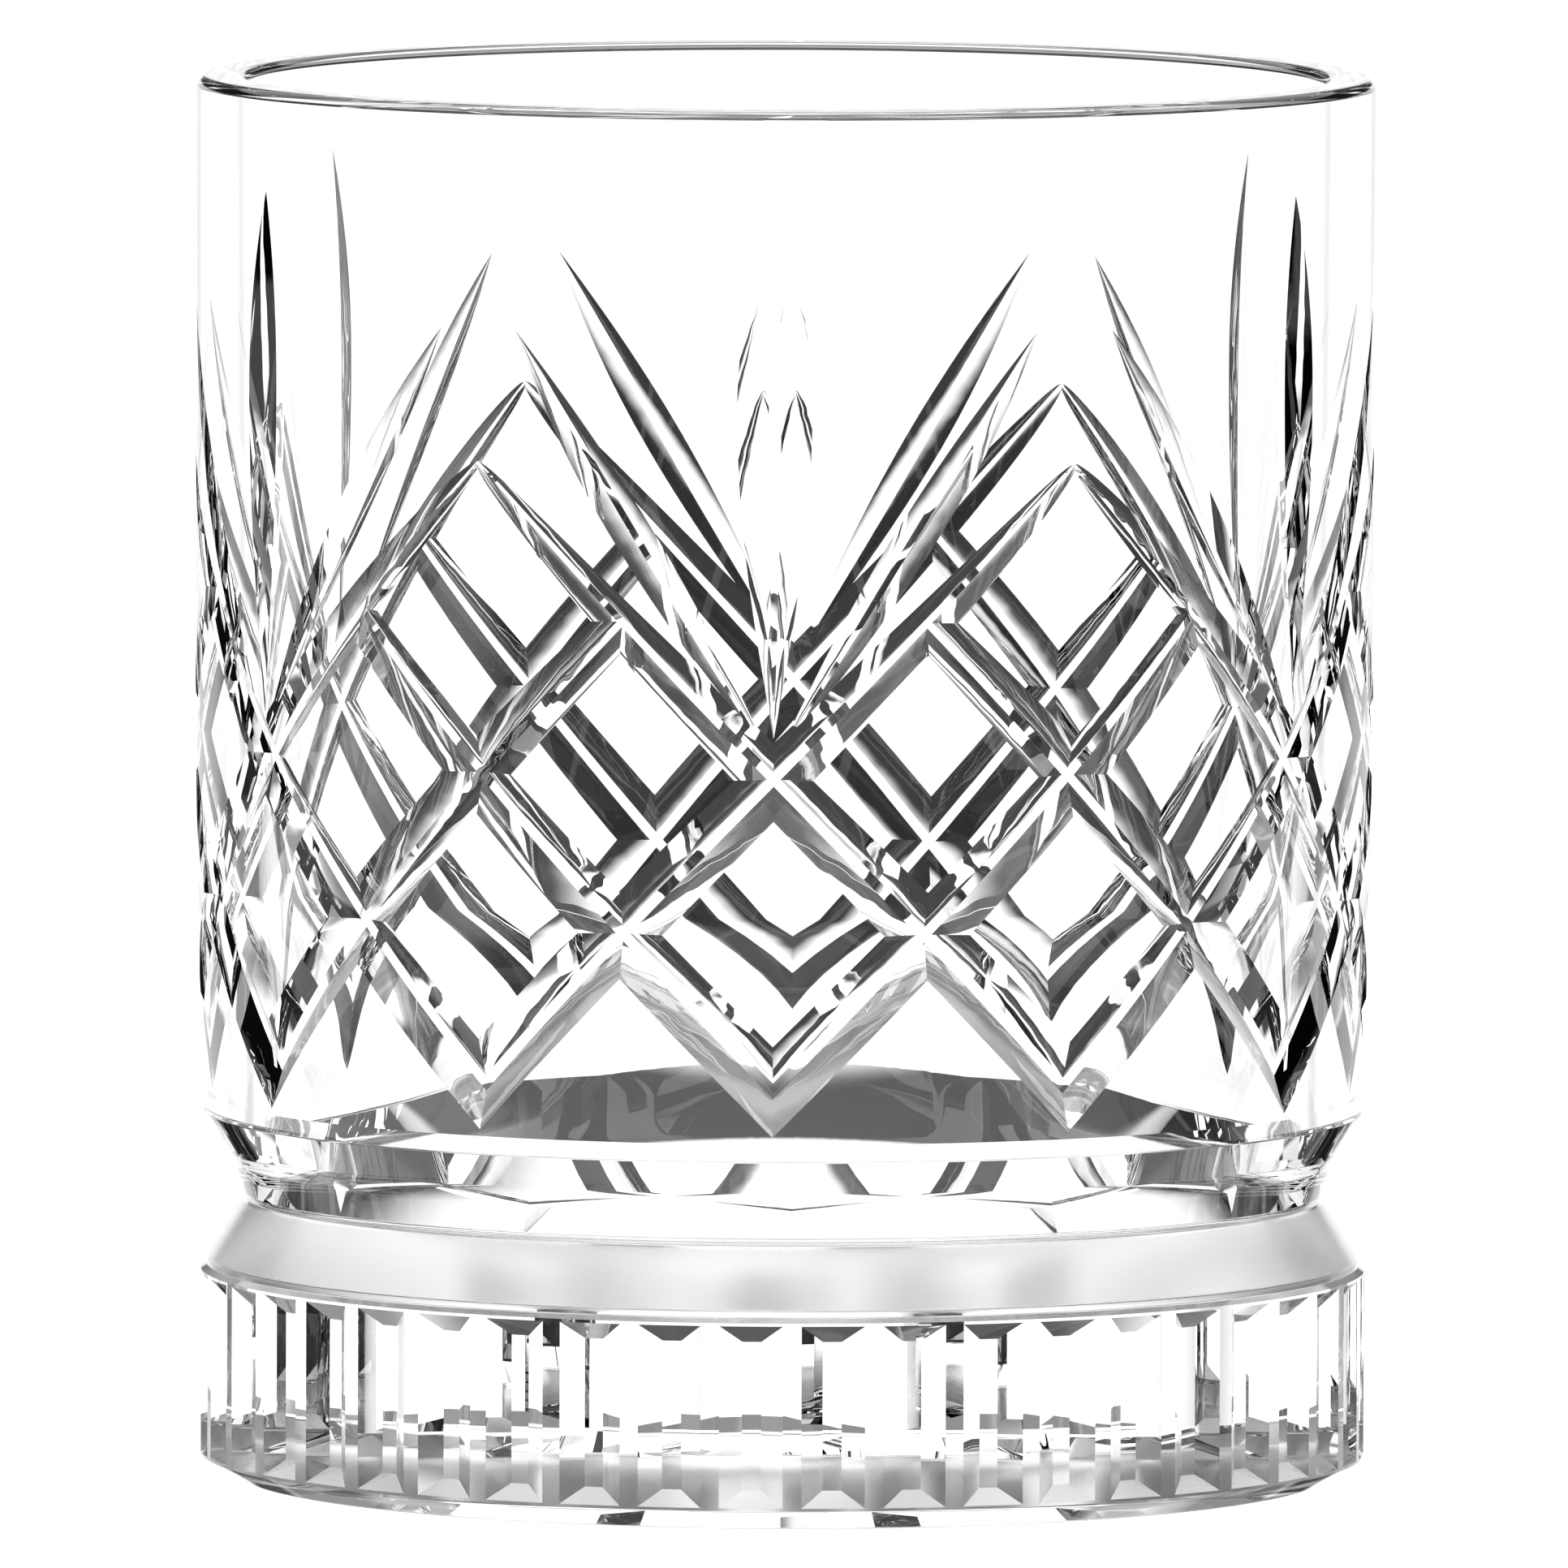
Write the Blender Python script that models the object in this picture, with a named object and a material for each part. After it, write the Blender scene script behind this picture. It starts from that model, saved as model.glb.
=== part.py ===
"""Cut-glass whiskey tumbler, modelled as the single piece of crystal that it is.

Metres, +Z up. The origin is the centre of the base, and the middle of one fan of
the cut pattern faces -Y. The two cut bands, the criss-cross on the bowl and the
sunken panels on the foot, are carved on a flat strip of the wall, wrapped round
the axis and repeated. Turned surfaces join them into one closed body.
"""
from math import cos, pi, radians, sin

import bmesh
import bpy
from mathutils import Matrix, Vector

# Overall size
HEIGHT = 0.0977
BOWL_RADIUS = 0.041
WALL = 0.0035
RIM_ROUND = 0.0007

# Cavity wall downwards as radius and height: it narrows to a waist, then widens again
CAVITY_WALL = ((0.0368, 0.0533), (0.0366, 0.0433), (0.0364, 0.0385), (0.0360, 0.0330),
               (0.0359, 0.0287), (0.0361, 0.0240))
CAVITY_FOOT_RADIUS = 0.0364
CAVITY_FLOOR = 0.0189
FLOOR_FILLET = 0.0012

# Cut band of the bowl, which draws in towards its bottom
BAND_BOTTOM = 0.0267
BAND_TOP = 0.0925
TUCK = 0.0006
TUCK_START = 0.0574

# Turned outline below the band: a concave neck between the bowl and the foot
UNDERSIDE = ((0.0404, 0.0255), (0.0396, 0.0243), (0.0390, 0.0236), (0.0385, 0.0226),
             (0.0381, 0.0216), (0.0378, 0.0205))
NECK = (0.0375, 0.0194)
SHOULDER_EDGE = (0.0402, 0.0151)
FOOT_RADIUS = 0.0406
FOOT_TOP = 0.01445
FOOT_BOTTOM = 0.0014
BASE_RADIUS = 0.0380

# Criss-cross grooves: 45 degrees on the unrolled wall, flat-bottomed V section
REPEATS = 12
ROW_HEIGHT = BOWL_RADIUS * pi / REPEATS
LOWEST_CROSSING = 0.0303
GROOVE_HALF_WIDTH = 0.0019
GROOVE_FLOOR_HALF_WIDTH = 0.0003
GROOVE_DEPTH = 0.0008

# Fans: an upright blade and two leaning ones, pointed at both ends
UPRIGHT_BLADE_FOOT = 0.0547
UPRIGHT_BLADE_TIP = 0.0908
UPRIGHT_BLADE_HALF_WIDTH = 0.0026
SIDE_BLADE_FOOT = 0.0529
SIDE_BLADE_TIP_ANGLE = 25.9
SIDE_BLADE_TIP = 0.0824
SIDE_BLADE_HALF_WIDTH = 0.0013
BLADE_SKEW = 1.15

# Sunken panels round the foot
PANELS = 45
FIRST_RIB_ANGLE = 2.0
PANEL_HALF_WIDTH = 0.0022
PANEL_DEPTH = 0.00095
PANEL_SIDE_BEVEL = 0.0015
PANEL_END_BEVEL = 0.0011
PANEL_EDGE_GAP = 0.0002

# How finely the round shape is divided
BOWL_COLUMNS = 6
TUCK_ROWS = 4
FOOT_COLUMNS = 2
ROUND_STEPS = 3
CUTTER_RISE = 0.0010
WELD = 1e-6
SLIVER = 2e-5

SECTOR = 2 * pi / REPEATS
BOWL_SEGMENTS = REPEATS * BOWL_COLUMNS


def clear_scene():
    for item in list(bpy.data.objects):
        bpy.data.objects.remove(item, do_unlink=True)


def new_collection(name):
    collection = bpy.data.collections.new(name)
    bpy.context.scene.collection.children.link(collection)
    return collection


def mesh_object(name, bm, collection):
    mesh = bpy.data.meshes.new(name)
    bm.to_mesh(mesh)
    bm.free()
    item = bpy.data.objects.new(name, mesh)
    collection.objects.link(item)
    return item


def crystal():
    material = bpy.data.materials.new("crystal")
    material.use_nodes = True
    shader = material.node_tree.nodes["Principled BSDF"]
    shader.inputs["Base Color"].default_value = (0.97, 0.98, 0.98, 1)
    shader.inputs["Roughness"].default_value = 0.02
    shader.inputs["Metallic"].default_value = 0.0
    shader.inputs["IOR"].default_value = 1.52
    shader.inputs["Transmission Weight"].default_value = 1.0
    return material


def row(number):
    """Height of a row of crossings, counted up from the lowest."""
    return LOWEST_CROSSING + number * ROW_HEIGHT


# ---- Cutters, on the flat strip: X along the wall, Y into the glass, Z up ----

def loft(sections):
    bm = bmesh.new()
    rings = [[bm.verts.new(point) for point in section] for section in sections]
    for ring, following in zip(rings, rings[1:]):
        for i in range(len(ring)):
            j = (i + 1) % len(ring)
            bm.faces.new((ring[i], ring[j], following[j], following[i]))
    bm.faces.new(reversed(rings[0]))
    bm.faces.new(rings[-1])
    bmesh.ops.recalc_face_normals(bm, faces=bm.faces)
    return bm


def wheel_cut(name, start, end, stations, half_width, floor_half_width, depth, collection):
    """A straight cut whose depth at each station is a share of the full depth."""
    slope = (half_width - floor_half_width) / depth
    start = Vector((start[0], 0, start[1]))
    run = Vector((end[0], 0, end[1])) - start
    across = Vector((run.z, 0, -run.x)).normalized()
    into = Vector((0, 1, 0))
    sections = []
    for position, share in stations:
        floor = max(floor_half_width * share, WELD)
        mouth = floor + slope * (share * depth + CUTTER_RISE)
        middle = start + run * position
        low = middle + into * share * depth
        high = middle - into * CUTTER_RISE
        sections.append((high - across * mouth, low - across * floor,
                         low + across * floor, high + across * mouth))
    cutter = mesh_object(name, loft(sections), collection)
    cutter.hide_render = True
    cutter.display_type = "WIRE"
    return cutter


def groove(name, start, end, ending, collection):
    """A groove of even depth, which passes its end, joins another there or fades out."""
    rows = (end[1] - start[1]) / ROW_HEIGHT
    beyond = 0.4 / rows
    endings = {
        "passes": ((1 + beyond, 1),),
        "joins": ((1, 1),),
        "fades": ((1 - 1 / rows, 1), (1 + 0.1 / rows, -0.1)),
    }
    stations = ((-beyond, 1),) + endings[ending]
    return wheel_cut(name, start, end, stations, GROOVE_HALF_WIDTH,
                     GROOVE_FLOOR_HALF_WIDTH, GROOVE_DEPTH, collection)


def blade(name, foot, tip, half_width, collection):
    """A leaf-shaped cut, deepest a little above its middle."""
    steps = 8
    stations = []
    for step in range(steps + 1):
        position = step / steps
        share = sin(pi * position ** BLADE_SKEW)
        stations.append((position, share))
    stations[0] = (-0.02, -0.06)
    stations[-1] = (1.01, -0.03)
    stations.insert(1, (0.03, sin(pi * 0.03 ** BLADE_SKEW)))
    stations.insert(-1, (0.97, sin(pi * 0.97 ** BLADE_SKEW)))
    return wheel_cut(name, foot, tip, stations, half_width,
                     GROOVE_FLOOR_HALF_WIDTH, GROOVE_DEPTH, collection)


def bowl_cutters(collection):
    """The cuts that meet one sector: half a fan and half of the gap beside it."""
    middle = BOWL_RADIUS * SECTOR / 2
    side = BOWL_RADIUS * SECTOR
    side_tip = BOWL_RADIUS * radians(SIDE_BLADE_TIP_ANGLE)
    return (
        groove("rising_low", (0, row(0)), (side, row(2)), "passes", collection),
        groove("falling_low", (side, row(0)), (0, row(2)), "passes", collection),
        groove("falling_high", (side, row(2)), (middle, row(3)), "joins", collection),
        groove("rising_high", (0, row(2)), (side, row(4)), "fades", collection),
        blade("upright_blade", (0, UPRIGHT_BLADE_FOOT), (0, UPRIGHT_BLADE_TIP),
              UPRIGHT_BLADE_HALF_WIDTH, collection),
        blade("side_blade", (0, SIDE_BLADE_FOOT), (side_tip, SIDE_BLADE_TIP),
              SIDE_BLADE_HALF_WIDTH, collection),
    )


def panel_cutter(collection):
    """One sunken panel with a bevelled frame, centred on X = 0."""
    low = FOOT_BOTTOM + PANEL_EDGE_GAP
    high = FOOT_TOP - PANEL_EDGE_GAP
    sections = []
    for depth in (-CUTTER_RISE, PANEL_DEPTH):
        share = depth / PANEL_DEPTH
        side = PANEL_HALF_WIDTH - PANEL_SIDE_BEVEL * share
        bottom = low + PANEL_END_BEVEL * share
        top = high - PANEL_END_BEVEL * share
        sections.append(((-side, depth, bottom), (side, depth, bottom),
                         (side, depth, top), (-side, depth, top)))
    cutter = mesh_object("panel", loft(sections), collection)
    cutter.hide_render = True
    cutter.display_type = "WIRE"
    return cutter


# ---- Flat strips of wall: carved, wrapped round the axis and repeated ----

def carved_strip(x_low, x_high, z_low, z_high, cutters, collection):
    """The carved face of a flat strip, open at its four edges and its back."""
    bm = bmesh.new()
    bmesh.ops.create_cube(bm, size=1)
    size = Vector((x_high - x_low, WALL, z_high - z_low))
    corner = Vector((x_low, 0, z_low))
    for vert in bm.verts:
        vert.co = corner + (vert.co + Vector((0.5, 0.5, 0.5))) * size
    slab = mesh_object("slab", bm, collection)
    for cutter in cutters:
        cut = slab.modifiers.new(cutter.name, "BOOLEAN")
        cut.operation = "DIFFERENCE"
        cut.solver = "EXACT"
        cut.object = cutter
    evaluated = slab.evaluated_get(bpy.context.evaluated_depsgraph_get())
    carved = bmesh.new()
    carved.from_mesh(evaluated.to_mesh())
    bpy.data.objects.remove(slab)

    def on_slab_side(face):
        places = [vert.co for vert in face.verts]
        limits = ((0, x_low), (0, x_high), (1, WALL), (2, z_low), (2, z_high))
        return any(all(abs(place[axis] - limit) < WELD for place in places)
                   for axis, limit in limits)

    sides = [face for face in carved.faces if on_slab_side(face)]
    bmesh.ops.delete(carved, geom=sides, context="FACES")
    for vert in carved.verts:
        for limit in (x_low, x_high):
            if abs(vert.co.x - limit) < SLIVER:
                vert.co.x = limit
    bmesh.ops.remove_doubles(carved, verts=carved.verts, dist=SLIVER)
    return carved


def divide(strip, place, direction):
    """Cut a strip's faces along a plane."""
    geometry = strip.verts[:] + strip.edges[:] + strip.faces[:]
    bmesh.ops.bisect_plane(strip, geom=geometry, dist=WELD, plane_co=place, plane_no=direction)


def wrap(strip, radius, columns, x_low, x_high, tuck=0):
    """Divide a strip into columns and bend it round the axis, its X = 0 facing -Y.

    With a tuck, the wall draws in by that much from the tuck's start to the band's bottom.
    """
    for column in range(1, columns):
        divide(strip, (x_low + (x_high - x_low) * column / columns, 0, 0), (1, 0, 0))
    if tuck:
        for number in range(TUCK_ROWS):
            height = TUCK_START - (TUCK_START - BAND_BOTTOM) * number / TUCK_ROWS
            divide(strip, (0, 0, height), (0, 0, 1))
    bmesh.ops.triangulate(strip, faces=strip.faces)
    for vert in strip.verts:
        angle = vert.co.x / radius
        share = max((TUCK_START - vert.co.z) / (TUCK_START - BAND_BOTTOM), 0)
        reach = radius - vert.co.y - tuck * share ** 2
        vert.co = (reach * sin(angle), -reach * cos(angle), vert.co.z)


def repeat(target, strip, placements):
    """Add a copy of a strip to the target mesh at each placement, and free the strip."""
    mesh = bpy.data.meshes.new("strip")
    strip.to_mesh(mesh)
    strip.free()
    for placement in placements:
        before = len(target.verts)
        target.from_mesh(mesh)
        target.verts.ensure_lookup_table()
        bmesh.ops.transform(target, matrix=placement, verts=target.verts[before:])
    bpy.data.meshes.remove(mesh)


def add_bowl_band(target, collection):
    width = BOWL_RADIUS * SECTOR
    cutters = bowl_cutters(collection)
    strip = carved_strip(0, width, BAND_BOTTOM, BAND_TOP, cutters, collection)
    wrap(strip, BOWL_RADIUS, BOWL_COLUMNS, 0, width, TUCK)
    mirror = Matrix.Scale(-1, 4, (1, 0, 0))
    placements = []
    for pair in range(REPEATS // 2):
        turn = Matrix.Rotation(2 * SECTOR * pair, 4, "Z")
        placements += [turn, turn @ mirror]
    repeat(target, strip, placements)


def add_foot_band(target, collection):
    half_pitch = pi * FOOT_RADIUS / PANELS
    cutters = (panel_cutter(collection),)
    strip = carved_strip(-half_pitch, half_pitch, FOOT_BOTTOM, FOOT_TOP, cutters, collection)
    wrap(strip, FOOT_RADIUS, FOOT_COLUMNS, -half_pitch, half_pitch)
    pitch = 2 * pi / PANELS
    first = radians(FIRST_RIB_ANGLE) + pitch / 2
    placements = [Matrix.Rotation(first + pitch * panel, 4, "Z") for panel in range(PANELS)]
    repeat(target, strip, placements)


# ---- Turned surfaces ----

def arc(centre_radius, centre_height, radius, start, end):
    """Points along an arc of the outline, angles in degrees from straight outwards."""
    points = []
    for step in range(ROUND_STEPS + 1):
        angle = radians(start + (end - start) * step / ROUND_STEPS)
        points.append((centre_radius + radius * cos(angle),
                       centre_height + radius * sin(angle)))
    return points


def turned(target, outline, segments, first_angle):
    """Spin an outline of radius and height pairs round the axis."""
    heading = Vector((sin(first_angle), -cos(first_angle), 0))
    verts = [target.verts.new(heading * radius + Vector((0, 0, height)))
             for radius, height in outline]
    edges = [target.edges.new(pair) for pair in zip(verts, verts[1:])]
    bmesh.ops.spin(target, geom=verts + edges, cent=(0, 0, 0), axis=(0, 0, 1),
                   angle=2 * pi, steps=segments, use_merge=True)


def add_turned_surfaces(target):
    rim = arc(BOWL_RADIUS - RIM_ROUND, HEIGHT - RIM_ROUND, RIM_ROUND, 0, 90)
    inner_radius = BOWL_RADIUS - WALL
    lip = arc(inner_radius + RIM_ROUND, HEIGHT - RIM_ROUND, RIM_ROUND, 90, 180)
    fillet = arc(CAVITY_FOOT_RADIUS - FLOOR_FILLET, CAVITY_FLOOR + FLOOR_FILLET,
                 FLOOR_FILLET, 0, -90)
    cavity = list(CAVITY_WALL) + fillet + [(0, CAVITY_FLOOR)]
    upper = [(BOWL_RADIUS, BAND_TOP)] + rim + lip + cavity
    turned(target, upper, BOWL_SEGMENTS, 0)
    turned(target, ((BOWL_RADIUS - TUCK, BAND_BOTTOM),) + UNDERSIDE, BOWL_SEGMENTS, 0)
    foot_angle = radians(FIRST_RIB_ANGLE)
    foot_segments = PANELS * FOOT_COLUMNS
    turned(target, (NECK, SHOULDER_EDGE, (FOOT_RADIUS, FOOT_TOP)), foot_segments, foot_angle)
    base = ((FOOT_RADIUS, FOOT_BOTTOM), (BASE_RADIUS, 0), (0, 0))
    turned(target, base, foot_segments, foot_angle)


def build():
    clear_scene()
    glassware = new_collection("whiskey_tumbler")
    cutting = new_collection("cutters")
    bm = bmesh.new()
    add_bowl_band(bm, cutting)
    add_foot_band(bm, cutting)
    add_turned_surfaces(bm)
    bmesh.ops.remove_doubles(bm, verts=bm.verts, dist=WELD)
    open_rings = [edge for edge in bm.edges if edge.is_boundary]
    bmesh.ops.bridge_loops(bm, edges=open_rings)
    bmesh.ops.triangulate(bm, faces=bm.faces)
    bmesh.ops.recalc_face_normals(bm, faces=bm.faces)
    tumbler = mesh_object("tumbler", bm, glassware)
    tumbler.data.materials.append(crystal())
    tumbler.data.shade_smooth()
    tumbler.data.set_sharp_from_angle(angle=radians(20))


build()
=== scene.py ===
from math import atan2, cos, pi, radians, sin, sqrt, tan

import bmesh
import bpy
import numpy as np
from mathutils import Euler, Matrix, Vector


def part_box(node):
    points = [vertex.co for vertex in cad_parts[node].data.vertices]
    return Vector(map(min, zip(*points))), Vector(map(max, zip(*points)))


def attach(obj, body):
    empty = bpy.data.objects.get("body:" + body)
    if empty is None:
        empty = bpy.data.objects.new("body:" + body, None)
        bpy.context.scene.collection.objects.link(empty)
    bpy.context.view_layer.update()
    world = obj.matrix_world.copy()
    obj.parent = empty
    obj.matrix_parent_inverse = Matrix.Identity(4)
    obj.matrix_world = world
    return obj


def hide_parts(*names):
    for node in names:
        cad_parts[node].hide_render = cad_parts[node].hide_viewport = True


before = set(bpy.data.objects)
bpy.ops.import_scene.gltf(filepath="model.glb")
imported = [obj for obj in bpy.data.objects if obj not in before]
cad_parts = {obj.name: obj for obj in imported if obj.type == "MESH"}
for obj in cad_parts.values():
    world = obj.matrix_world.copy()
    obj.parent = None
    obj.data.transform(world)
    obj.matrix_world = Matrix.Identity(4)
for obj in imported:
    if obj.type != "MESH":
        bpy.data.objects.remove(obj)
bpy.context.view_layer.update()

# ---- The tumbler's dimensions, from the frame: R is the bowl's outer radius ----

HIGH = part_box("tumbler")[1]
R = HIGH.x
HEIGHT = HIGH.z
WALL = 0.085 * R
INNER_RADIUS = R - WALL
INNER_TAPER = 0.0166
# Changes in the cavity's radius: amount, starting height and length downwards
NARROWING = (0.011 * R, 1.026 * R, 0.260 * R)
OPENING = (0.020 * R, 0.737 * R, 0.390 * R)
INNER_FLOOR = 0.46 * R
FLOOR_FILLET = 0.03 * R
RIM_ROUND = 0.020 * R

# Bands: the bowl's cut wall draws in quadratically below the tuck's start
BAND_LOW = 0.652 * R
BAND_HIGH = 2.250 * R
TUCK_START = 1.400 * R
TUCKED_RADIUS = 0.985 * R
FOOT_RADIUS = 0.9895 * R
FOOT_LOW = 0.036 * R
FOOT_HIGH = 0.352 * R
BASE_RADIUS = 0.927 * R

# Outline of the neck upwards, between the foot and the bowl: radius, height and rounding
NECK = (
    (0.978 * R, 0.360 * R, 0.004 * R),
    (0.976 * R, 0.372 * R, 0.012 * R),
    (0.9139 * R, 0.474 * R, 0.003 * R),
    (0.9375 * R, 0.550 * R, 0.130 * R),
    (0.985 * R, 0.6215 * R, 0.006 * R),
)
BASE_ROUND = 0.012 * R

# Criss-cross: 24 leaning grooves, 45 degrees on the unrolled wall
REPEATS = 12
SECTOR = 2 * pi / REPEATS
ROW_HEIGHT = R * SECTOR / 2
LOWEST_CROSSING = 0.740 * R
GROOVE_HALF_WIDTH = 0.054 * R
GROOVE_OVERRUN = 0.4 * ROW_HEIGHT
ROWS = 4

# All cuts share one section: a flat-bottomed V
WALL_RUN = 2.0
FLOOR_SHARE = 0.17
HOLLOW = 0.18

# Fans: blades from foot to tip, widest at a share of the way up
UPRIGHT_FOOT = 1.335 * R
UPRIGHT_TIP = 2.215 * R
UPRIGHT_WIDEST_SHARE = 0.625
UPRIGHT_HALF_WIDTH = 0.063 * R
SIDE_FOOT = 1.290 * R
SIDE_TIP = 2.010 * R
SIDE_TIP_ANGLE = radians(25.9)
SIDE_WIDEST_SHARE = 0.55
SIDE_HALF_WIDTH = 0.034 * R

# Sunken panels of the foot
PANELS = 45
FIRST_RIB = radians(2.0)
PANEL_HALF_WIDTH = 0.0535 * R
PANEL_DEPTH = 0.023 * R
PANEL_SIDE_BEVEL = 0.037 * R
PANEL_END_BEVEL = 0.028 * R
PANEL_GAP = 0.005 * R

# Division of the surfaces
COLUMN = radians(0.5)
TUCK_ROWS = 5
GROOVE_STEPS = 10
FADING_GROOVE_STEPS = 28
BLADE_STEPS_BELOW = 16
BLADE_STEPS_ABOVE = 24
CAVITY_STEPS = 18

CUTTER_RISE = 0.02 * R
PAST_POINT = 0.2
WELD = 1e-6
SLIVER = 4e-6

# Scales that weigh a facet's distance from a cut's surface against its turn from the
# cut's direction, when looking for the cut that made it
MATCH_DISTANCE = 0.002 * R
MATCH_ANGLE = radians(5)
FLAT_COSINE = 0.99999


def rounded(z, start, end):
    """1 at the start height, falling along a quarter ellipse to 0 at the end height."""
    share = (z - start) / (end - start)
    return sqrt(max(1 - share * share, 0)) if share > 0 else 1


def pointed(z, start, end):
    """1 at the start height, falling along a parabola to 0 at the end height."""
    share = (z - start) / (end - start)
    return 1 - min(share, 1) ** 2 if share > 0 else 1


def tapered(z, start, end):
    """1 at the start height, falling along a quarter wave to 0 at the end height."""
    share = (z - start) / (end - start)
    return cos(pi / 2 * min(share, 1)) if share > 0 else 1


class Cut:
    """A straight cut in the unrolled wall (x along it, z up), whose half-width follows height."""

    def __init__(self, foot, tip, half_width, heights):
        self.foot = foot
        self.lean = (tip[0] - foot[0]) / (tip[1] - foot[1])
        self.stretch = sqrt(1 + self.lean ** 2)
        self.half_width = half_width
        self.heights = heights

    def middle(self, z):
        return self.foot[0] + self.lean * (z - self.foot[1])

    def floor_depth(self, z):
        return (1 - FLOOR_SHARE) * self.half_width(z) / WALL_RUN

    def wall_depth(self, x, z, side):
        return (self.half_width(z) - side * (x - self.middle(z)) / self.stretch) / WALL_RUN

    def normal(self, z, side, depth=0):
        """Direction out of the glass in strip space: side is -1 or 1 for a wall, 0 for the floor.

        The walls are slightly hollow, steeper at the mouth than at the floor.
        """
        step = 1e-4 * R
        slope = (self.half_width(z + step) - self.half_width(z - step)) / (2 * step * WALL_RUN)
        if side == 0:
            return Vector((0, -1, (1 - FLOOR_SHARE) * slope)).normalized()
        share = min(depth / max(self.floor_depth(z), WELD), 1)
        across = side * (1 + HOLLOW * (1 - 2 * share)) / (self.stretch * WALL_RUN)
        return Vector((-across, -1, slope + across * self.lean)).normalized()

    def sections(self):
        """Cross-sections for the cutter, closed a little past a pointed end."""
        stations = [(z, self.half_width(z)) for z in self.heights]
        for end, before in ((0, 1), (-1, -2)):
            if stations[end][1] < WELD:
                step = stations[end][0] - stations[before][0]
                stations[end] = (stations[end][0] + PAST_POINT * step,
                                 -PAST_POINT * stations[before][1])
        rings = []
        for z, width in stations:
            deep = (1 - FLOOR_SHARE) * width / WALL_RUN
            floor = self.stretch * max(FLOOR_SHARE * width, WELD)
            mouth = self.stretch * (max(width, FLOOR_SHARE * width) + WALL_RUN * CUTTER_RISE)
            x = self.middle(z)
            rings.append(((x - mouth, -CUTTER_RISE, z), (x - floor, deep, z),
                          (x + floor, deep, z), (x + mouth, -CUTTER_RISE, z)))
        return rings


def eased(start, end, steps):
    """Heights from start to end, closer together towards the end."""
    return [start + (end - start) * sin(pi / 2 * i / steps) for i in range(steps + 1)]


def row(number):
    """Height of a row of crossings, counted up from the lowest."""
    return LOWEST_CROSSING + number * ROW_HEIGHT


def evenly(start, end, steps):
    """Heights from start to end, evenly apart."""
    return [start + (end - start) * i / steps for i in range(steps + 1)]


def groove(foot, tip, ending):
    """A groove whose tip fades out at the top row, passes a crossing or joins another."""
    def half_width(z):
        return GROOVE_HALF_WIDTH * rounded(z, row(0), row(ROWS))

    if ending == "fades":
        heights = eased(foot[1], tip[1], FADING_GROOVE_STEPS)
    else:
        heights = evenly(foot[1], tip[1], GROOVE_STEPS)
    if ending == "passes":
        heights.append(tip[1] + GROOVE_OVERRUN)
    return Cut(foot, tip, half_width, [foot[1] - GROOVE_OVERRUN] + heights)


def blade(foot, tip, full_half_width, widest_share):
    """A leaf-shaped cut, pointed at its tip."""
    widest = foot[1] + widest_share * (tip[1] - foot[1])

    def half_width(z):
        if z > widest:
            return full_half_width * pointed(z, widest, tip[1])
        return full_half_width * tapered(-z, -widest, -foot[1])

    below = evenly(foot[1], widest, BLADE_STEPS_BELOW)[:-1]
    return Cut(foot, tip, half_width, below + eased(widest, tip[1], BLADE_STEPS_ABOVE))


def bowl_cuts():
    """The cuts that meet one sector: half a fan and half of the gap beside it."""
    side = R * SECTOR
    side_tip = R * SIDE_TIP_ANGLE
    return [
        groove((0, row(0)), (side, row(2)), "passes"),
        groove((side, row(0)), (0, row(2)), "passes"),
        groove((side, row(2)), (side / 2, row(3)), "joins"),
        groove((0, row(2)), (side, row(ROWS)), "fades"),
        blade((0, UPRIGHT_FOOT), (0, UPRIGHT_TIP), UPRIGHT_HALF_WIDTH, UPRIGHT_WIDEST_SHARE),
        blade((0, SIDE_FOOT), (side_tip, SIDE_TIP), SIDE_HALF_WIDTH, SIDE_WIDEST_SHARE),
    ]


def loft(sections):
    """A closed body through cross-sections of the same number of corners."""
    bm = bmesh.new()
    rings = [[bm.verts.new(point) for point in section] for section in sections]
    for ring, following in zip(rings, rings[1:]):
        for i in range(len(ring)):
            j = (i + 1) % len(ring)
            bm.faces.new((ring[i], ring[j], following[j], following[i]))
    bm.faces.new(reversed(rings[0]))
    bm.faces.new(rings[-1])
    bmesh.ops.recalc_face_normals(bm, faces=bm.faces)
    return bm


def mesh_object(name, bm):
    """An object in the scene made of the mesh, which is used up."""
    mesh = bpy.data.meshes.new(name)
    bm.to_mesh(mesh)
    bm.free()
    item = bpy.data.objects.new(name, mesh)
    bpy.context.scene.collection.objects.link(item)
    return item


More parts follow.
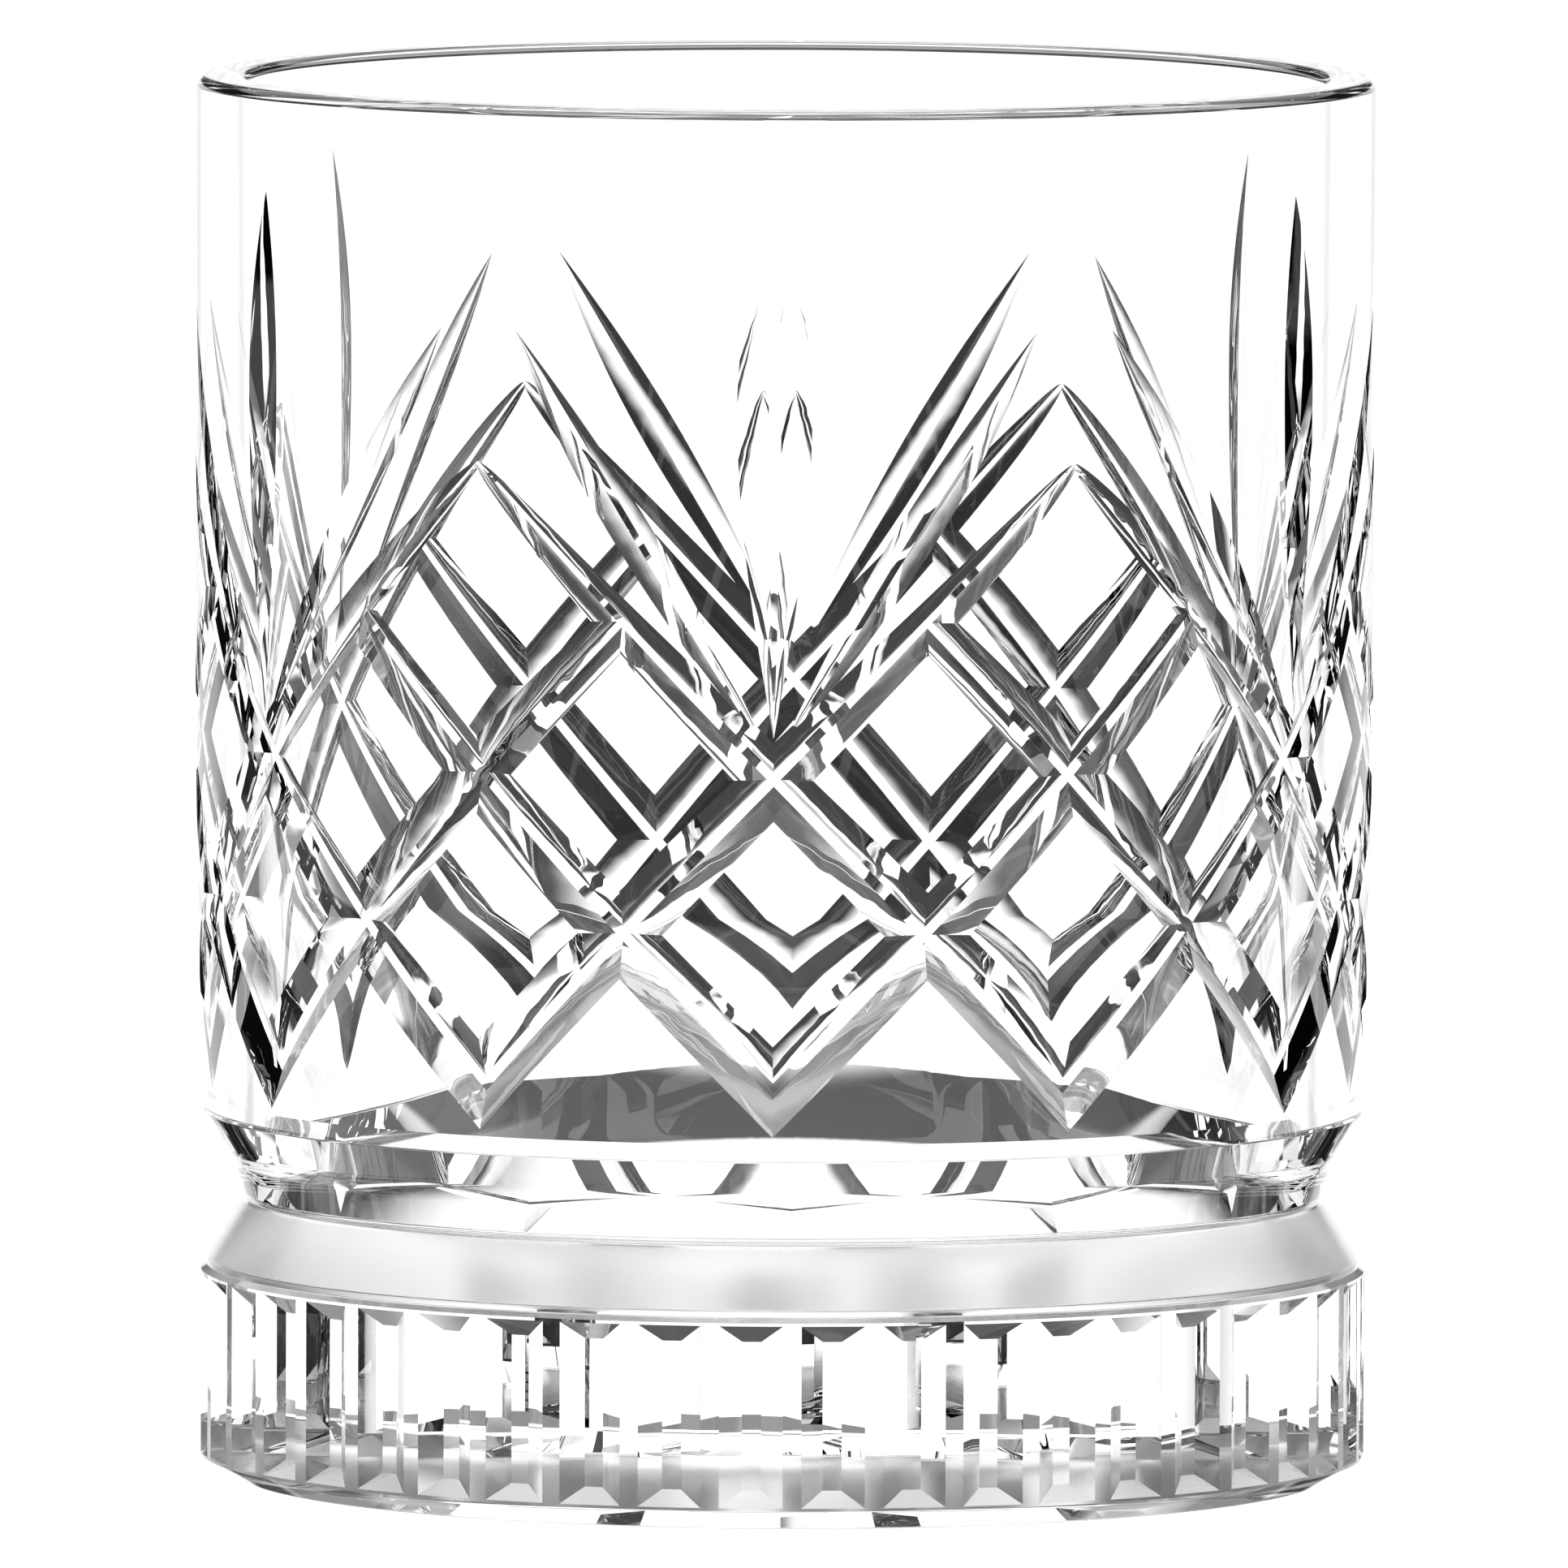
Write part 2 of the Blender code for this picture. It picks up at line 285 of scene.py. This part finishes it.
def carved_strip(x_low, x_high, z_low, z_high, cutters, columns, rows=()):
    """The carved face of a flat strip, open at its edges, cut into columns and at row heights."""
    bm = bmesh.new()
    bmesh.ops.create_cube(bm, size=1)
    size = Vector((x_high - x_low, WALL, z_high - z_low))
    corner = Vector((x_low, 0, z_low))
    for vert in bm.verts:
        vert.co = corner + (vert.co + Vector((0.5, 0.5, 0.5))) * size
    slab = mesh_object("slab", bm)
    tools = [mesh_object("cutter", loft(sections)) for sections in cutters]
    for tool in tools:
        cut = slab.modifiers.new("cut", "BOOLEAN")
        cut.operation = "DIFFERENCE"
        cut.solver = "EXACT"
        cut.object = tool
    evaluated = slab.evaluated_get(bpy.context.evaluated_depsgraph_get())
    strip = bmesh.new()
    strip.from_mesh(evaluated.to_mesh())
    for item in [slab] + tools:
        bpy.data.objects.remove(item)

    def on_slab_side(face):
        places = [vert.co for vert in face.verts]
        limits = ((0, x_low), (0, x_high), (1, WALL), (2, z_low), (2, z_high))
        return any(all(abs(place[axis] - limit) < WELD for place in places)
                   for axis, limit in limits)

    sides = [face for face in strip.faces if on_slab_side(face)]
    bmesh.ops.delete(strip, geom=sides, context="FACES")
    for vert in strip.verts:
        for limit in (x_low, x_high):
            if abs(vert.co.x - limit) < SLIVER:
                vert.co.x = limit
    bmesh.ops.remove_doubles(strip, verts=strip.verts, dist=SLIVER)
    planes = [((0, 0, height), (0, 0, 1)) for height in rows]
    planes += [((x_low + (x_high - x_low) * i / columns, 0, 0), (1, 0, 0))
               for i in range(1, columns)]
    for place, direction in planes:
        geometry = strip.verts[:] + strip.edges[:] + strip.faces[:]
        bmesh.ops.bisect_plane(strip, geom=geometry, dist=WELD,
                               plane_co=place, plane_no=direction)
    bmesh.ops.triangulate(strip, faces=strip.faces)
    return strip


def wrapped(points, normals, radius, tuck=0, tuck_slope=0):
    """Bend points and normals of a flat strip round the axis, its x = 0 facing -Y.

    The wall stands in from the radius by the tuck, whose slope is its growth with height.
    """
    angle = points[..., 0] / radius
    reach = radius - tuck - points[..., 1]
    tangent = np.stack((np.cos(angle), np.sin(angle), 0 * angle), -1)
    outward = np.stack((np.sin(angle), -np.cos(angle), 0 * angle), -1)
    upward = np.zeros_like(outward)
    upward[..., 2] = 1
    places = outward * reach[..., None] + upward * points[..., 2:]
    shading = (tangent * (normals[..., :1] * (radius / reach)[..., None])
               - outward * normals[..., 1:2]
               + upward * (normals[..., 2] - normals[..., 1] * tuck_slope)[..., None])
    return places, shading / np.linalg.norm(shading, axis=-1, keepdims=True)


def turned_copies(triangles, angles, mirrored=False):
    """Copies of (places, shading) triangles at each angle round the axis."""
    places, shading = triangles
    if mirrored:
        flip = np.array((-1, 1, 1))
        places = (places * flip)[:, ::-1]
        shading = (shading * flip)[:, ::-1]
    made = []
    for angle in angles:
        turn = np.array(Matrix.Rotation(angle, 3, "Z")).T
        made.append((places @ turn, shading @ turn))
    return made


def matching_cut(face, cuts):
    """The cut that made a facet and its side, or None and 0 where the wall is plain."""
    centre = face.calc_center_median()
    if face.normal.dot(Vector((0, -1, 0))) >= FLAT_COSINE and centre.y <= WELD:
        return None, 0
    best = (1e9, None, 0)
    for cut in cuts:
        if not cut.heights[0] - WELD < centre.z < cut.heights[-1] + WELD:
            continue
        for side in (-1, 0, 1):
            depth = (cut.floor_depth(centre.z) if side == 0
                     else cut.wall_depth(centre.x, centre.z, side))
            apart = abs(depth - centre.y) / MATCH_DISTANCE
            turned = face.normal.angle(cut.normal(centre.z, side), 0) / MATCH_ANGLE
            best = min(best, (apart + turned, cut, side), key=lambda item: item[0])
    return best[1:]


def bowl_band():
    """The cut wall of the bowl: one carved sector, repeated and mirrored round the axis."""
    width = R * SECTOR
    cuts = bowl_cuts()
    cutters = [cut.sections() for cut in cuts]
    tuck_rows = evenly(BAND_LOW, TUCK_START, TUCK_ROWS)[1:]
    strip = carved_strip(0, width, BAND_LOW, BAND_HIGH, cutters, round(SECTOR / COLUMN),
                         tuck_rows)
    points, normals = [], []
    for face in strip.faces:
        cut, side = matching_cut(face, cuts)
        corners = [vert.co for vert in face.verts]
        points.append([tuple(corner) for corner in corners])
        normals.append([tuple(cut.normal(corner.z, side, corner.y)) if cut else (0, -1, 0)
                        for corner in corners])
    strip.free()
    points = np.array(points)
    share = np.clip((TUCK_START - points[..., 2]) / (TUCK_START - BAND_LOW), 0, 1)
    depth = R - TUCKED_RADIUS
    tuck = depth * share ** 2
    tuck_slope = -2 * depth * share / (TUCK_START - BAND_LOW)
    sector = wrapped(points, np.array(normals), R, tuck, tuck_slope)
    angles = [2 * SECTOR * pair for pair in range(REPEATS // 2)]
    return turned_copies(sector, angles) + turned_copies(sector, angles, mirrored=True)


def foot_band():
    """The foot's wall: one sunken panel, repeated round the axis."""
    half_pitch = pi * FOOT_RADIUS / PANELS
    low, high = FOOT_LOW + PANEL_GAP, FOOT_HIGH - PANEL_GAP
    sections = []
    for depth in (-CUTTER_RISE, PANEL_DEPTH):
        share = depth / PANEL_DEPTH
        side = PANEL_HALF_WIDTH - PANEL_SIDE_BEVEL * share
        bottom = low + PANEL_END_BEVEL * share
        top = high - PANEL_END_BEVEL * share
        sections.append(((-side, depth, bottom), (side, depth, bottom),
                         (side, depth, top), (-side, depth, top)))
    pitch = 2 * pi / PANELS
    strip = carved_strip(-half_pitch, half_pitch, FOOT_LOW, FOOT_HIGH, [sections],
                         round(pitch / COLUMN))
    points = np.array([[tuple(vert.co) for vert in face.verts] for face in strip.faces])
    normals = np.array([[tuple(face.normal)] * 3 for face in strip.faces])
    strip.free()
    panel = wrapped(points, normals, FOOT_RADIUS)
    first = FIRST_RIB + pitch / 2
    return turned_copies(panel, [first + pitch * i for i in range(PANELS)])


# ---- Turned surfaces ----

def outline(corners, arc_steps):
    """Stretches of (radius, height, normal radius, normal height) along rounded corners.

    Each corner is (radius, height, rounding); the glass is on the left of the way along.
    """
    spots = [Vector(corner[:2]) for corner in corners]
    ways = [(b - a).normalized() for a, b in zip(spots, spots[1:])]
    stretches = []
    start = spots[0]
    for i, way in enumerate(ways):
        normal = Vector((way.y, -way.x))
        rounding = 0
        turn = 0
        if i + 1 < len(ways):
            rounding = corners[i + 1][2]
            turn = atan2(way.cross(ways[i + 1]), way.dot(ways[i + 1]))
        reach = rounding * abs(tan(turn / 2))
        end = spots[i + 1] - way * reach
        stretches.append([(*start, *normal), (*end, *normal)])
        start = end
        if rounding:
            bulge = rounding if turn > 0 else -rounding
            centre = end - normal * bulge
            stretch = []
            for step in range(arc_steps + 1):
                outward = Matrix.Rotation(turn * step / arc_steps, 2) @ normal
                stretch.append((*(centre + outward * bulge), *outward))
            stretches.append(stretch)
            start = spots[i + 1] + ways[i + 1] * reach
    return stretches


def turned_surface(stretches):
    """Triangles of outline stretches spun round the axis."""
    angles = np.arange(round(2 * pi / COLUMN) + 1) * COLUMN
    outward = np.stack((np.sin(angles), -np.cos(angles), 0 * angles), -1)
    upward = np.array((0, 0, 1))

    def triangles(low, high):
        """Two triangles for each column between a lower and an upper ring."""
        return np.concatenate((np.stack((low[:-1], low[1:], high[1:]), 1),
                               np.stack((low[:-1], high[1:], high[:-1]), 1)))

    made = []
    for stretch in stretches:
        for low, high in zip(stretch, stretch[1:]):
            rings = [outward * r + upward * z for r, z, _, _ in (low, high)]
            shades = [outward * nr + upward * nz for _, _, nr, nz in (low, high)]
            made.append((triangles(*rings), triangles(*shades)))
    return made


def cavity_wall(top, bottom):
    """Stretch down the wall of the cavity: a slight taper, a narrowing and a wider bottom."""
    def swell(z, amount, start, length):
        share = min(max((start - z) / length, 0), 1)
        return (amount * share ** 2 * (3 - 2 * share),
                6 * amount * share * (1 - share) / length)

    stretch = []
    for z in [top] + evenly(NARROWING[1], bottom, CAVITY_STEPS):
        narrower, narrower_slope = swell(z, *NARROWING)
        wider, wider_slope = swell(z, *OPENING)
        r = INNER_RADIUS - INNER_TAPER * (HEIGHT - z) - narrower + wider
        slope = INNER_TAPER + narrower_slope - wider_slope
        length = sqrt(1 + slope ** 2)
        stretch.append((r, z, -1 / length, slope / length))
    return stretch


def tumbler_mesh():
    """All surfaces welded into one closed body, each corner with its exact normal."""
    wall = cavity_wall(HEIGHT - RIM_ROUND, INNER_FLOOR + FLOOR_FILLET)
    top, bottom = wall[0], wall[-1]
    rim = outline(((R, BAND_HIGH, 0), (R, HEIGHT, RIM_ROUND),
                   (top[0], HEIGHT, RIM_ROUND), (top[0], top[1], 0)), arc_steps=8)
    floor = outline(((bottom[0], bottom[1], 0), (bottom[0], INNER_FLOOR, FLOOR_FILLET),
                     (0, INNER_FLOOR, 0)), arc_steps=8)
    neck = outline(((FOOT_RADIUS, FOOT_HIGH, 0), *NECK, (TUCKED_RADIUS, BAND_LOW, 0)),
                   arc_steps=5)
    base = outline(((0, 0, 0), (BASE_RADIUS, 0, BASE_ROUND), (FOOT_RADIUS, FOOT_LOW, 0)),
                   arc_steps=4)
    parts = bowl_band() + foot_band()
    for stretches in (rim, [wall], floor, neck, base):
        parts += turned_surface(stretches)
    places = np.concatenate([part[0] for part in parts])
    shading = np.concatenate([part[1] for part in parts])
    count = len(places) * 3
    mesh = bpy.data.meshes.new("crystal_tumbler")
    mesh.from_pydata(places.reshape(-1, 3), [], np.arange(count).reshape(-1, 3))
    layer = mesh.attributes.new("shading", "FLOAT_VECTOR", "CORNER")
    layer.data.foreach_set("vector", shading.ravel())
    bm = bmesh.new()
    bm.from_mesh(mesh)
    bmesh.ops.remove_doubles(bm, verts=bm.verts, dist=WELD)
    bm.to_mesh(mesh)
    bm.free()
    kept = np.empty(len(mesh.loops) * 3, dtype=np.float32)
    mesh.attributes["shading"].data.foreach_get("vector", kept)
    mesh.attributes.remove(mesh.attributes["shading"])
    mesh.shade_smooth()
    mesh.normals_split_custom_set(kept.reshape(-1, 3))
    return mesh


def make_tumbler(material):
    tumbler = bpy.data.objects.new("crystal_tumbler", tumbler_mesh())
    bpy.context.scene.collection.objects.link(tumbler)
    tumbler.data.materials.append(material)
    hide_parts("tumbler")
    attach(tumbler, "root")


# ---- Shader arithmetic ----

class Formula:
    """Numbers worked out with math nodes."""

    def __init__(self, tree):
        self.tree = tree

    def math(self, operation, *values):
        node = self.tree.nodes.new("ShaderNodeMath")
        node.operation = operation
        for socket, value in zip(node.inputs, values):
            if isinstance(value, bpy.types.NodeSocket):
                self.tree.links.new(value, socket)
            else:
                socket.default_value = value
        return node.outputs[0]

    def step(self, value, low, high):
        """0 below low, 1 above high, smooth between; low above high turns it round."""
        node = self.tree.nodes.new("ShaderNodeMapRange")
        node.interpolation_type = "SMOOTHSTEP"
        self.tree.links.new(value, node.inputs["Value"])
        start, end = sorted((low, high))
        node.inputs["From Min"].default_value = start
        node.inputs["From Max"].default_value = end
        node.inputs["To Min"].default_value = 0 if low < high else 1
        node.inputs["To Max"].default_value = 1 if low < high else 0
        return node.outputs["Result"]

    def window(self, value, low, high, soft):
        """1 between low and high, 0 outside, with soft edges."""
        return self.math("MULTIPLY", self.step(value, low - soft, low + soft),
                         self.step(value, high + soft, high - soft))


# ---- Materials ----

IOR = 1.52

# Satin parts: the shoulder, outside a radius and between two heights, and the underside
SHOULDER_ROUGHNESS = 0.18
UNDERSIDE_ROUGHNESS = 0.20
SHOULDER_REACH = 0.905 * R
SHOULDER_LOW = 0.366 * R
SHOULDER_HIGH = 0.470 * R
SHOULDER_SOFT = 0.004 * R
UNDERSIDE_LOW = 0.002 * R
UNDERSIDE_HIGH = 0.004 * R

# Ripples in the cuts, from a first to a last depth below the plain wall
RIPPLE_LENGTH = 0.060 * R
RIPPLE_HEIGHT = 0.0006 * R
RIPPLE_FIRST_DEPTH = 0.003 * R
RIPPLE_LAST_DEPTH = 0.050 * R
RIPPLE_DEPTH_SOFT = 0.002 * R
RIPPLE_END_SOFT = 0.004 * R


def add_satin(form, shader, reach, z):
    """Satin on the shoulder and the underside, polish elsewhere."""
    outside = form.math("GREATER_THAN", reach, SHOULDER_REACH)
    shoulder = form.math("MULTIPLY", outside,
                         form.window(z, SHOULDER_LOW, SHOULDER_HIGH, SHOULDER_SOFT))
    underside = form.step(z, UNDERSIDE_HIGH, UNDERSIDE_LOW)
    roughness = form.math("MAXIMUM", form.math("MULTIPLY", shoulder, SHOULDER_ROUGHNESS),
                          form.math("MULTIPLY", underside, UNDERSIDE_ROUGHNESS))
    form.tree.links.new(roughness, shader.inputs["Roughness"])


def add_ripples(form, shader, place, reach, z):
    """Faint ripples in the bowl's cuts, where the surface is deeper than the plain wall."""
    share = form.math("MAXIMUM", form.math("DIVIDE", form.math("SUBTRACT", TUCK_START, z),
                                           TUCK_START - BAND_LOW), 0.0)
    wall = form.math("MULTIPLY_ADD", form.math("MULTIPLY", share, share),
                     TUCKED_RADIUS - R, R)
    depth = form.math("SUBTRACT", wall, reach)
    cut = form.math("MULTIPLY", form.window(depth, RIPPLE_FIRST_DEPTH, RIPPLE_LAST_DEPTH,
                                            RIPPLE_DEPTH_SOFT),
                    form.window(z, BAND_LOW, BAND_HIGH, RIPPLE_END_SOFT))
    noise = form.tree.nodes.new("ShaderNodeTexNoise")
    noise.inputs["Scale"].default_value = 1 / RIPPLE_LENGTH
    noise.inputs["Detail"].default_value = 1.0
    form.tree.links.new(place, noise.inputs["Vector"])
    ripples = form.tree.nodes.new("ShaderNodeBump")
    ripples.inputs["Distance"].default_value = RIPPLE_HEIGHT
    form.tree.links.new(cut, ripples.inputs["Strength"])
    form.tree.links.new(noise.outputs["Fac"], ripples.inputs["Height"])
    form.tree.links.new(ripples.outputs["Normal"], shader.inputs["Normal"])


def crystal_material():
    """Clear polished crystal, with a satin shoulder and underside and ripples in the cuts."""
    material = bpy.data.materials.new("crystal")
    material.use_nodes = True
    tree = material.node_tree
    form = Formula(tree)
    shader = tree.nodes["Principled BSDF"]
    shader.inputs["Base Color"].default_value = (1, 1, 1, 1)
    shader.inputs["IOR"].default_value = IOR
    shader.inputs["Transmission Weight"].default_value = 1.0
    place = tree.nodes.new("ShaderNodeTexCoord").outputs["Object"]
    split = tree.nodes.new("ShaderNodeSeparateXYZ")
    tree.links.new(place, split.inputs[0])
    x, y, z = split.outputs
    reach = form.math("SQRT", form.math("ADD", form.math("MULTIPLY", x, x),
                                        form.math("MULTIPLY", y, y)))
    add_satin(form, shader, reach, z)
    add_ripples(form, shader, place, reach, z)
    return material


# ---- Camera and studio ----

CAMERA_AZIMUTH = radians(1.0)
CAMERA_ELEVATION = radians(4.72)
CAMERA_ROLL = radians(0.2)
CAMERA_DISTANCE = 59 * R
CAMERA_AIM = 1.176 * R
SENSOR_WIDTH = 36
FOCAL_LENGTH = 797.5
FARTHEST_SEEN = 50


def make_camera():
    """A long lens, a little above the tumbler and a degree to its right."""
    aim = Vector((0, 0, CAMERA_AIM))
    back = Vector((sin(CAMERA_AZIMUTH) * cos(CAMERA_ELEVATION),
                   -cos(CAMERA_AZIMUTH) * cos(CAMERA_ELEVATION), sin(CAMERA_ELEVATION)))
    data = bpy.data.cameras.new("camera")
    data.sensor_width = SENSOR_WIDTH
    data.lens = FOCAL_LENGTH
    data.clip_end = FARTHEST_SEEN
    camera = bpy.data.objects.new("camera", data)
    camera.location = aim + back * CAMERA_DISTANCE
    facing = (-back).to_track_quat("-Z", "Y")
    roll = Euler((0, 0, CAMERA_ROLL)).to_quaternion()
    camera.rotation_euler = (facing @ roll).to_euler()
    bpy.context.scene.collection.objects.link(camera)
    bpy.context.scene.camera = camera


STUDIO_LEVEL = 1.25

# Cards round a white studio, drawn by direction: level, lowest and highest elevation with
# the softness of those edges, then the middle bearing (0 is behind the tumbler, 90 to its
# right), half-width and softness. They darken the bends of the glass.
CARDS = (
    # Low, all round but for a gap behind the camera on the right
    (0.03, -21.0, -12.0, 1.5, -21.5, 128.5, 2.0),
    # Raised, on the right and the left, with a gap straight behind the tumbler
    (0.05, 3.8, 21.0, 1.2, 93.0, 87.0, 2.0),
    (0.05, 3.8, 21.0, 1.2, -93.0, 87.0, 2.0),
    # The dark room behind the camera, farther round on the right
    (0.02, -9.0, 21.0, 1.5, 155.0, 85.0, 5.0),
    # Hardly darker than the white, higher, on the right
    (0.95, 20.0, 30.0, 5.0, 75.0, 50.0, 12.0),
    # Two upright seams in the white
    (0.50, -9.0, 3.8, 1.5, 37.5, 1.5, 3.5),
    (0.50, -9.0, 3.8, 1.5, -37.5, 1.5, 3.5),
    # The grey table below: white behind on the left, then white behind, then all round
    (0.30, -33.0, -21.0, 1.5, 135.0, 152.0, 2.0),
    (0.30, -43.0, -32.0, 1.5, 180.0, 146.0, 2.0),
    (0.30, -58.0, -42.0, 1.5, 0.0, 190.0, 1.0),
    # A narrow dark card high behind, seen in the bottom of the cavity
    (0.08, 18.5, 31.0, 1.0, 0.0, 4.0, 1.5),
)


def make_world():
    """White studio all round, with cards that darken the bends of the glass."""
    world = bpy.data.worlds.new("studio")
    bpy.context.scene.world = world
    world.use_nodes = True
    tree = world.node_tree
    form = Formula(tree)
    place = tree.nodes.new("ShaderNodeTexCoord")
    parts = tree.nodes.new("ShaderNodeSeparateXYZ")
    tree.links.new(place.outputs["Generated"], parts.inputs[0])
    x, y, z = parts.outputs
    elevation = form.math("DEGREES", form.math("ARCSINE", z))
    bearing = form.math("DEGREES", form.math("ARCTAN2", x, y))
    light = STUDIO_LEVEL
    for level, low, high, soft, middle, reach, side_soft in CARDS:
        turned = form.math("WRAP", form.math("SUBTRACT", bearing, middle), 180.0, -180.0)
        inside = form.math("MULTIPLY", form.window(elevation, low, high, soft),
                           form.window(turned, -reach, reach, side_soft))
        card = form.math("MULTIPLY_ADD", inside, level - STUDIO_LEVEL, STUDIO_LEVEL)
        light = form.math("MINIMUM", light, card)
    background = tree.nodes["Background"]
    tree.links.new(light, background.inputs["Color"])
    background.inputs["Strength"].default_value = 1.0


FLOOR_RADIUS = 12
FLOOR_SEGMENTS = 96
FLOOR_COLOUR = (0.9, 0.9, 0.9, 1)
FLOOR_ROUGHNESS = 0.9
FLOOR_GLOW = 0.85


def make_floor():
    """A plain white sweep, seen only directly: the glass looks past it into the studio."""
    mesh = bpy.data.meshes.new("floor")
    bm = bmesh.new()
    bmesh.ops.create_circle(bm, cap_ends=True, segments=FLOOR_SEGMENTS,
                            radius=FLOOR_RADIUS)
    bm.to_mesh(mesh)
    bm.free()
    floor = bpy.data.objects.new("floor", mesh)
    bpy.context.scene.collection.objects.link(floor)
    material = bpy.data.materials.new("floor")
    material.use_nodes = True
    shader = material.node_tree.nodes["Principled BSDF"]
    shader.inputs["Base Color"].default_value = FLOOR_COLOUR
    shader.inputs["Roughness"].default_value = FLOOR_ROUGHNESS
    shader.inputs["Emission Color"].default_value = (1, 1, 1, 1)
    shader.inputs["Emission Strength"].default_value = FLOOR_GLOW
    mesh.materials.append(material)
    floor.visible_transmission = False
    floor.visible_glossy = False


# Paths that bounce more often than this end in black, as those trapped in the glass do
BOUNCES = 9

make_camera()
make_world()
make_floor()
make_tumbler(crystal_material())
scene = bpy.context.scene
scene.view_settings.view_transform = "Standard"
scene.cycles.max_bounces = BOUNCES
scene.cycles.transmission_bounces = BOUNCES
scene.cycles.glossy_bounces = BOUNCES
